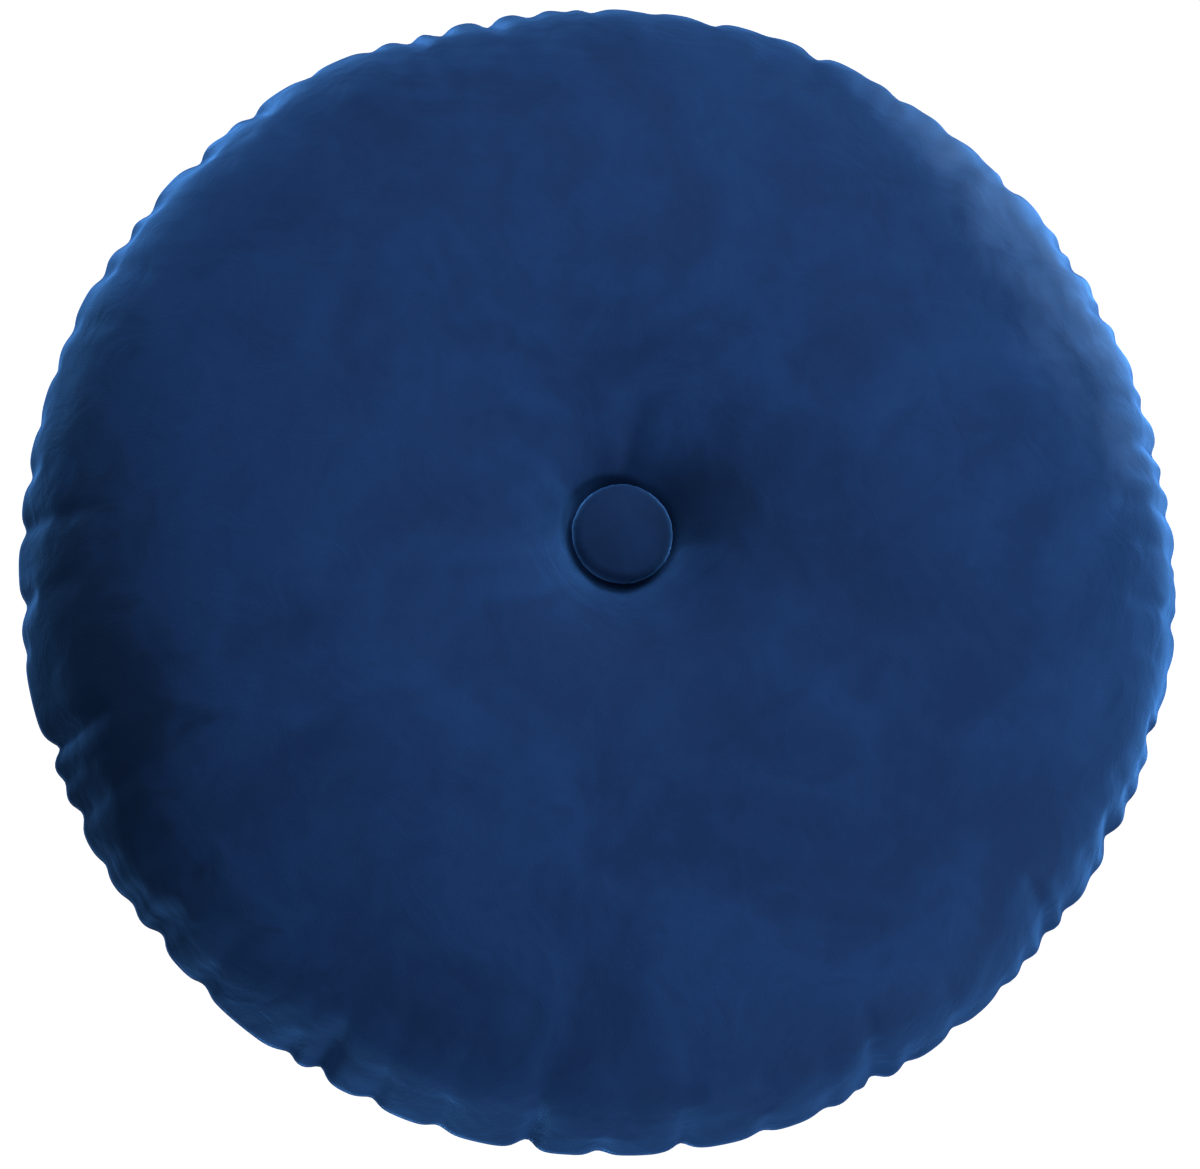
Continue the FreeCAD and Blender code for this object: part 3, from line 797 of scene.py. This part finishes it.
# covered buttons
buttonLook = {
    "segments": 96,
    "pleats": 22,
    "pleatDepth": 0.00030,
    "domeCurve": 10.2,        # how quickly the face falls away from its middle
    "faceDip": 0.00025,
    "facePart": 0.003,        # above this the velvet lies on the face
    "roll": (0.0046, 0.0051),     # radius and height of the rounded edge
    "lean": 0.8,              # degrees the upper button has settled to one side
    "leanAngle": 62,
    "cloth": 0.0006,
    "innerFloor": 0.0016,     # height of the velvet's inner turn
}


def buttonRings():
    # section of the button's velvet from the middle of its face round the edge to the hem inside
    wall = buttonRadius - 0.0001
    rollRadius, rollHeight = buttonLook["roll"]
    flat = wall - rollRadius
    curve = buttonLook["domeCurve"]
    face = [flat * share for share in (0.1, 0.3, 0.5, 0.7, 0.86, 1)]
    rings = [(out, buttonThickness - curve * out**2) for out in face]
    low = rings[-1][1] - rollHeight
    for degrees in (72, 54, 36, 18, 0):
        angle = math.radians(degrees)
        rings.append((flat + rollRadius * math.cos(angle), low + rollHeight * math.sin(angle)))
    rings += [(wall, 0.0016), (wall - 0.0002, 0.0008), (wall - 0.0008, 0.0002), (wall - 0.0016, 0.0)]
    rings += [(wall - 0.0024, 0.0002), (wall - 0.0027, 0.0010)]
    return rings


def buttonSection():
    # the outer side of the velvet, its hem, and back along its inner side
    cloth = buttonLook["cloth"]
    outer = buttonRings()
    inner = [(out - cloth, up - cloth) for out, up in outer[:12] if out > 2 * cloth]
    hemOut = outer[-1][0] + 0.0002
    section = outer + [(hemOut, outer[-1][1] + 0.0004)]
    section += [(min(out, hemOut), max(up, buttonLook["innerFloor"])) for out, up in inner[::-1]]
    return section


def wrinkleVelvet(vertex, upwards):
    # gathers round the button's edge, and a face that isn't quite even
    look = buttonLook
    out = math.hypot(vertex.co.x, vertex.co.y)
    angle = math.atan2(vertex.co.y, vertex.co.x)
    edge = max(0.0, min(1.0, (out / buttonRadius - 0.62) / 0.3))
    wobble = noise.noise(Vector((math.cos(angle) * 2.6, math.sin(angle) * 2.6, upwards * 5.0)))
    pleat = math.sin(angle * look["pleats"] + 5 * wobble) * look["pleatDepth"] * edge
    lowness = 1 - min(1.0, vertex.co.z / buttonThickness)
    drawn = abs(pleat) * (0.4 + lowness) + 0.0002 * edge * (1 + wobble)
    pullIn(vertex, 1 - drawn / max(out, 0.001))
    face = max(0.0, 1 - out / buttonRadius)
    dent = noise.noise(Vector((vertex.co.x * 90, vertex.co.y * 90, upwards * 3.0)))
    dip = look["faceDip"] if vertex.co.z > look["facePart"] else 0
    vertex.co.z += dent * dip - face * 0.0001


def turnAll(shape, points, turn):
    bmesh.ops.rotate(shape, verts=points, cent=(0, 0, 0), matrix=turn.to_matrix())


def makeButton(name, body, node, low, upwards, lean, material):
    look = buttonLook
    shape = bmesh.new()
    loops = [addCircle(shape, look["segments"], out, up)[1] for out, up in buttonSection()]
    for first, second in zip(loops, loops[1:]):
        bmesh.ops.bridge_loops(shape, edges=first + second)
    for loop in (loops[0], loops[-1]):
        bmesh.ops.contextual_create(shape, geom=loop)
    bmesh.ops.recalc_face_normals(shape, faces=shape.faces[:])
    for vertex in shape.verts:
        wrinkleVelvet(vertex, upwards)
    if upwards < 0:
        turnAll(shape, shape.verts, Quaternion((1, 0, 0), math.pi))
    if lean:
        angle = math.radians(look["leanAngle"])
        axis = Vector((-math.sin(angle), math.cos(angle), 0))
        turnAll(shape, shape.verts, Quaternion(axis, math.radians(lean)))
    bmesh.ops.translate(shape, verts=shape.verts, vec=(0, 0, low))
    piece = newPiece(name, shape)
    piece.data.materials.append(material)
    smooth = piece.modifiers.new("smooth", "SUBSURF")
    smooth.levels = smooth.render_levels = 1
    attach(piece, body)
    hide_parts(node)


# hand stitches that close the seam
stitchLook = {
    "middle": 135.0,          # degrees from +X
    "pitch": 0.004,
    "count": 26,
    "reach": 0.0008,          # half of a stitch's length
    "radius": 0.00026,
    "slant": 0.0003,
    "proud": 0.0001,
}


def seamRun(seam):
    # where the seam really runs: angles in order, with the radius and height at each
    angles = np.arctan2(seam[:, 1], seam[:, 0])
    order = np.argsort(angles)
    return angles[order], np.hypot(seam[order, 0], seam[order, 1]), seam[order, 2]


def makeStitches(seam, material):
    # a short thread across the seam at every step, lying on the cloth
    look = stitchLook
    angles, radii, heights = seamRun(seam)
    lean = math.atan2(look["slant"], look["reach"])
    shape = bmesh.new()
    for number in range(look["count"]):
        fromMiddle = number - (look["count"] - 1) / 2
        angle = math.radians(look["middle"]) + fromMiddle * look["pitch"] / rimRadius
        out = float(np.interp(angle, angles, radii)) + look["proud"]
        up = float(np.interp(angle, angles, heights))
        made = bmesh.ops.create_uvsphere(shape, u_segments=10, v_segments=8, radius=look["radius"])["verts"]
        bmesh.ops.scale(shape, verts=made, vec=(1, 1, look["reach"] / look["radius"]))
        turnAll(shape, made, Quaternion((1, 0, 0), lean if number % 2 else -lean))
        bmesh.ops.translate(shape, verts=made, vec=(out, 0, up))
        turnAll(shape, made, Quaternion((0, 0, 1), angle))
    piece = newPiece("closingStitches", shape)
    piece.data.materials.append(material)
    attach(piece, "cushion")
    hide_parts("closing_stitches")


# threads that run along the seam inside, with each corner's distance inside the seam and its height
seamThreads = {
    "needleThread": ("needle_thread", (
        (0.0028, 0.0011), (0.0028, 0.0016), (0.0034, 0.0016), (0.0034, 0.0011))),
    "bobbinThread": ("bobbin_thread", (
        (0.0028, -0.0016), (0.0028, -0.0011), (0.0034, -0.0011), (0.0034, -0.0016))),
    "overlockThread": ("overlock_thread", (
        (0.0085, 0.0012), (0.0085, 0.0015), (0.0127, 0.0015), (0.0127, -0.0015),
        (0.0085, -0.0015), (0.0085, -0.0012), (0.0123, -0.0012), (0.0123, 0.0012))),
}


def makeSeamThreads(seam, material):
    angles, radii, heights = seamRun(seam)
    for name, (node, corners) in seamThreads.items():
        section = [(rimRadius - inside, height) for inside, height in corners]
        piece = newPiece(name, spinSection(section, coverLook["segments"]))
        places = readPlaces(piece.data)
        turn = np.arctan2(places[:, 1], places[:, 0])
        share = np.interp(turn, angles, radii, period=fullTurn) / rimRadius
        places = places * np.stack([share, share, np.ones(len(share))], axis=1)
        writePlaces(piece.data, places + np.array([0, 0, seamHeight]))
        piece.data.materials.append(material)
        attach(piece, "cushion")
        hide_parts(node)


# wadding between the foam and the cover
waddingLook = {
    "inset": 0.0045,          # below the cover
    "foamGap": 0.0004,
    "hole": 0.0045,           # radius round the twine
    "fromSeam": 0.0150,
    "segments": 120,
    "crownPoints": 60,
    "edgePoints": 16,
}


def someOf(indices, count):
    # evenly picked, with the first and the last
    return [indices[int(share * (len(indices) - 1))] for share in np.linspace(0, 1, count)]


def mirrored(section):
    return [(out, -up) for out, up in section]


def waddingSections(ring, foamTop):
    # radius and height of each corner of the upper wadding and of the one round the foam's edge
    look = waddingLook
    length, radius, height = meridian()
    slope = np.gradient(height, length)
    out = radius + slope * look["inset"]
    up = height - np.sqrt(np.maximum(1 - slope**2, 0)) * look["inset"]
    crown = np.nonzero((up > foamTop + 0.0006) & (out > look["hole"] + 0.001))[0]
    chosen = someOf(crown, look["crownPoints"])
    upper = [(look["hole"], foamTop), (look["hole"], float(up[crown[0]]))]
    upper += [(float(out[index]), float(up[index])) for index in chosen]
    upper += [(upper[-1][0] - 0.001, foamTop)]
    edge = np.nonzero((np.abs(up) < foamTop - 0.0008) & (radius > 0.15))[0]
    chosen = [index for index in someOf(edge, look["edgePoints"]) if up[index] > 0]
    limit = rimRadius - look["fromSeam"]
    wall = [(min(float(out[index]), limit), float(up[index])) for index in chosen]
    around = [(ring, wall[0][1])] + wall + mirrored(wall[::-1]) + [(ring, -wall[0][1])]
    return upper, around


def makeWaddings(material):
    look = waddingLook
    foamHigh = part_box("foam_core")[1]
    foamTop = foamHigh[2] - seamHeight + look["foamGap"]
    ring = foamHigh[0] + look["foamGap"]
    upper, around = waddingSections(ring, foamTop)
    pieces = (("upperWadding", "top_batting", upper), ("lowerWadding", "bottom_batting", mirrored(upper)),
              ("edgeWadding", "side_batting", around))
    for name, node, section in pieces:
        piece = newPiece(name, spinSection(section, look["segments"]))
        places = readPlaces(piece.data)
        offFoam = np.abs(places[:, 2]) > foamTop + 0.0004
        outside = np.hypot(places[:, 0], places[:, 1]) > ring + 0.004
        places = np.where((offFoam | outside)[:, None], unevenPlaces(places), places)
        places[:, 2] += seamHeight
        writePlaces(piece.data, places)
        piece.data.materials.append(material)
        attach(piece, "cushion")
        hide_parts(node)


def dressInside():
    # the pieces inside that keep their own shape get a finish
    finishes = {"foam_core": makeFoam(), "tuft_twine": makeTwine()}
    finishes["slip_knot"] = finishes["tuft_twine"]
    pressed = makeMetal("pressedShell", (0.50, 0.51, 0.53, 1), (0.74, 0.75, 0.77, 1), 0.32, (300, 300, 300))
    tinned = makeMetal("tinnedBack", (0.34, 0.34, 0.35, 1), (0.56, 0.56, 0.57, 1), 0.38, (900, 60, 60))
    wire = makeMetal("drawnWire", (0.36, 0.36, 0.38, 1), (0.60, 0.60, 0.62, 1), 0.26, (80, 80, 1200))
    for side in ("top", "bottom"):
        finishes[side + "_button_shell"] = pressed
        finishes[side + "_button_back"] = tinned
        finishes[side + "_button_eye"] = wire
    for node, material in finishes.items():
        piece = frame["nodes"][node]
        piece.data.materials.clear()
        piece.data.materials.append(material)


makeCamera()
print("camera placed")
velvet = makeVelvet("coverVelvet", 0.0, 0.0)
# the buttons' velvet gets painted shade: a darker base colour and less sheen
buttonVelvet = makeVelvet("buttonVelvet", 0.37, 0.3)
thread = makeThread()
seamLine = makeCover(velvet)
top = buttonLow[2]
lean = buttonLook["lean"]
makeButton("topButtonVelvet", "top_button", "top_button_cover", top, 1, lean, buttonVelvet)
bottom = lowButtonHigh[2]
makeButton("bottomButtonVelvet", "bottom_button", "bottom_button_cover", bottom, -1, 0, buttonVelvet)
print("buttons covered")
makeStitches(seamLine, thread)
makeSeamThreads(seamLine, thread)
makeWaddings(makeWadding())
dressInside()
print("inside finished")
lit = bpy.data.collections.new("lit")
for piece in list(bpy.context.scene.collection.all_objects):
    if piece.type == "MESH":
        lit.objects.link(piece)
makeStudio(lit)
print("studio lit")
